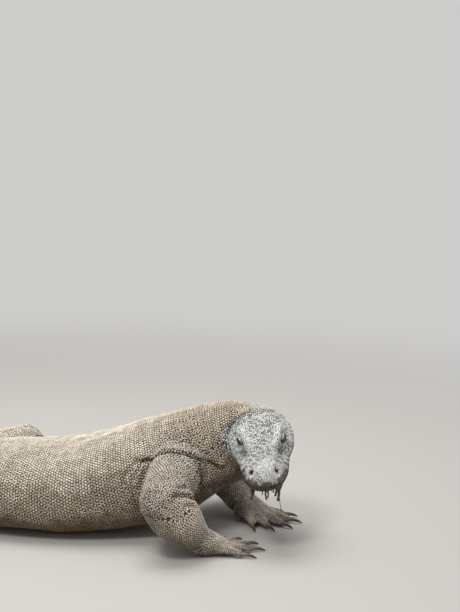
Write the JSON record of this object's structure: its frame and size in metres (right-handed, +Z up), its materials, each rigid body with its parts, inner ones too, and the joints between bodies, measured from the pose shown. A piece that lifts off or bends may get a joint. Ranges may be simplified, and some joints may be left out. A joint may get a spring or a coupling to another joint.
{
  "type": "komodo dragon",
  "caption": "Life-size still model of a large monitor lizard lying on its belly, chest slightly raised and head turned to its right.",
  "frame": {"origin": "middle of the footprint, on the floor that the belly, tail, hands and feet rest on", "axes": "+X along the body towards the head, +Z up, +Y towards the animal's left side; the head is turned to -Y"},
  "size_m": [2.1348, 0.8372, 0.2806],
  "materials": {
    "hide": "dry, scaly, matt",
    "eye": "wet, glossy",
    "claw": "worn horn, satin"
  },
  "bodies": {
    "root": {"claw_fore_left_1": "claw", "claw_fore_left_2": "claw", "claw_fore_left_3": "claw", "claw_fore_left_4": "claw", "claw_fore_left_5": "claw", "claw_fore_right_1": "claw", "claw_fore_right_2": "claw", "claw_fore_right_3": "claw", "claw_fore_right_4": "claw", "claw_fore_right_5": "claw", "claw_hind_left_1": "claw", "claw_hind_left_2": "claw", "claw_hind_left_3": "claw", "claw_hind_left_4": "claw", "claw_hind_left_5": "claw", "claw_hind_right_1": "claw", "claw_hind_right_2": "claw", "claw_hind_right_3": "claw", "claw_hind_right_4": "claw", "claw_hind_right_5": "claw", "eye_left": "eye", "eye_right": "eye", "fore_left_forearm": "hide", "fore_left_hand": "hide", "fore_left_upper_arm": "hide", "fore_right_forearm": "hide", "fore_right_hand": "hide", "fore_right_upper_arm": "hide", "head": "hide", "hind_left_foot": "hide", "hind_left_shin": "hide", "hind_left_thigh": "hide", "hind_right_foot": "hide", "hind_right_shin": "hide", "hind_right_thigh": "hide", "lower_jaw": "hide", "neck": "hide", "tail_base": "hide", "tail_middle": "hide", "tail_tip": "hide", "trunk_front": "hide", "trunk_rear": "hide"}
  },
  "joints": []
}
